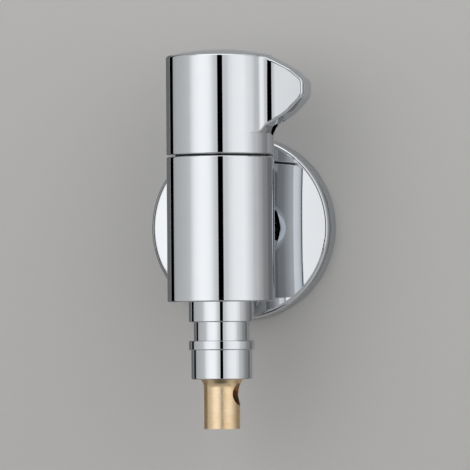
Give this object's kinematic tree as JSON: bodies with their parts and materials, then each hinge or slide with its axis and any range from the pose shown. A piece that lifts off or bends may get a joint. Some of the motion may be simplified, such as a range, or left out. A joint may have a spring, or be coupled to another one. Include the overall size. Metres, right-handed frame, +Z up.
{
  "type": "washing machine valve",
  "caption": "Wall-mounted washing machine valve with a quarter-turn beaked handle, a wall flange and a hose nipple whose stopper shuts when the hose comes off.",
  "frame": {"origin": "on the inlet axis, where it meets the wall plane at the back of the wall flange", "axes": "+Z up along the barrel axis, -Y towards the user, +Y along the inlet shank into the wall, +X the user's right"},
  "size_m": [0.0556, 0.062, 0.1127],
  "materials": {
    "chrome_body": "polished chrome plate on cast brass",
    "chrome_flange": "polished chrome plate on spun brass",
    "chrome_handle": "polished chrome plate on die-cast metal",
    "chrome_nozzle": "polished chrome plate on turned brass",
    "turned_brass": "bare turned brass, satin",
    "cartridge_brass": "bare turned brass",
    "ceramic": "lapped white ceramic",
    "black_rubber": "matt black rubber",
    "gasket_foam": "closed-cell foam rubber",
    "black_plastic": "black acetal",
    "white_plastic": "white acetal",
    "steel": "stainless steel"
  },
  "bodies": {
    "fixed": {"valve_body": "chrome_body", "wall_flange": "chrome_flange", "nozzle": "chrome_nozzle", "cartridge_housing": "cartridge_brass", "fixed_disc": "ceramic", "housing_o_ring": "black_rubber", "seat_seal": "black_rubber", "nozzle_o_ring": "black_rubber", "flange_grip_ring": "black_rubber", "flange_gasket": "gasket_foam", "glide_ring": "black_plastic", "thrust_washer": "white_plastic", "spring_retainer": "steel", "retaining_ring": "steel", "stopper_spring": "steel"},
    "handle": {"handle": "chrome_handle", "handle_set_screw": "steel", "spindle": "cartridge_brass", "spindle_o_ring_lower": "black_rubber", "spindle_o_ring_upper": "black_rubber", "spindle_clip": "steel", "rotating_disc": "ceramic"},
    "stopper": {"stopper_stem": "turned_brass", "stopper_seal": "black_rubber", "stopper_washer": "cartridge_brass", "stopper_screw": "steel"}
  },
  "joints": [
    {"name": "handle_turn", "type": "hinge", "parent": "fixed", "child": "handle", "pos_m": [0, -0.032, 0], "axis": [0, 0, 1], "range_deg": [-90, 0]},
    {"name": "stopper_slide", "type": "slide", "parent": "fixed", "child": "stopper", "axis": [0, 0, 1], "range_m": [0, 0.0065], "stiffness_N_per_m": 900, "springref_m": -0.004, "deforming": ["stopper_spring"]}
  ]
}
